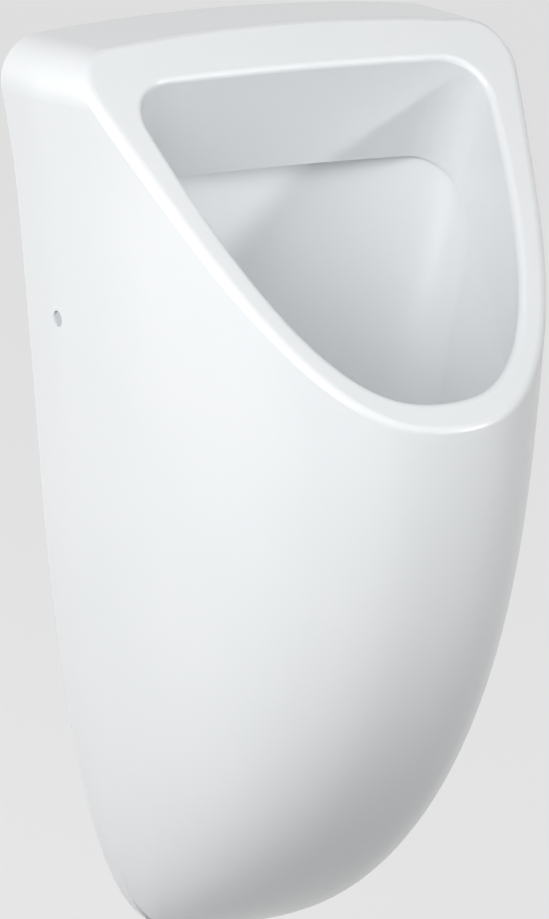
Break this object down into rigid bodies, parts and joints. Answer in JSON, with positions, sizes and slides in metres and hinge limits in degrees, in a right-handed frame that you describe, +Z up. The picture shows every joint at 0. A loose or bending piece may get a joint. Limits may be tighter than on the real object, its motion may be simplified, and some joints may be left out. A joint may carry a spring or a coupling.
{
  "type": "wall hung urinal",
  "caption": "Wall hung urinal with a raked rim, an overhanging flush lip and a rounded bowl, held by hidden side brackets and drained by a concealed bottle trap.",
  "frame": {"origin": "on the wall plane, midway between the holes of the two hidden wall brackets", "axes": "+Z up, +Y into the wall, +X to the right of someone who faces the urinal"},
  "size_m": [0.3122, 0.3272, 0.5984],
  "materials": {
    "glaze": "gloss",
    "stainless": "satin",
    "chromed_brass": "polished",
    "rubber": "matte",
    "white_plastic": "satin",
    "grey_plastic": "matte",
    "cap_plastic": "satin",
    "brass": "machined",
    "zinc_steel": "zinc plated"
  },
  "bodies": {
    "urinal": {"ceramic_body": "glaze", "waste_fitting": "chromed_brass", "waste_top_gasket": "rubber", "waste_bottom_gasket": "rubber", "waste_lock_nut": "white_plastic", "trap_union_nut": "white_plastic", "trap_cone_washer": "rubber", "trap_dip_tube": "white_plastic", "trap_body": "white_plastic", "trap_cup": "white_plastic", "trap_cup_seal": "rubber", "outlet_nut": "white_plastic", "outlet_seal": "rubber", "outlet_pipe": "grey_plastic", "inlet_connector": "brass", "inlet_cone_seal": "rubber", "inlet_lock_nut": "brass", "flush_distributor": "white_plastic", "left_wall_bracket": "zinc_steel", "left_clamp_nut": "zinc_steel", "left_locking_screw": "stainless", "left_hole_sleeve": "grey_plastic", "right_wall_bracket": "zinc_steel", "right_clamp_nut": "zinc_steel", "right_locking_screw": "stainless", "right_hole_sleeve": "grey_plastic"},
    "strainer": {"drain_strainer": "stainless"},
    "left_cap": {"left_cover_cap": "cap_plastic"},
    "right_cap": {"right_cover_cap": "cap_plastic"}
  },
  "joints": [
    {"name": "strainer_lift", "type": "slide", "parent": "urinal", "child": "strainer", "axis": [0, 0, 1], "range_m": [0, 0.2]},
    {"name": "left_cap_pull", "type": "slide", "parent": "urinal", "child": "left_cap", "axis": [-1, 0, 0], "range_m": [0, 0.02]},
    {"name": "right_cap_pull", "type": "slide", "parent": "urinal", "child": "right_cap", "axis": [1, 0, 0], "range_m": [0, 0.02]}
  ]
}
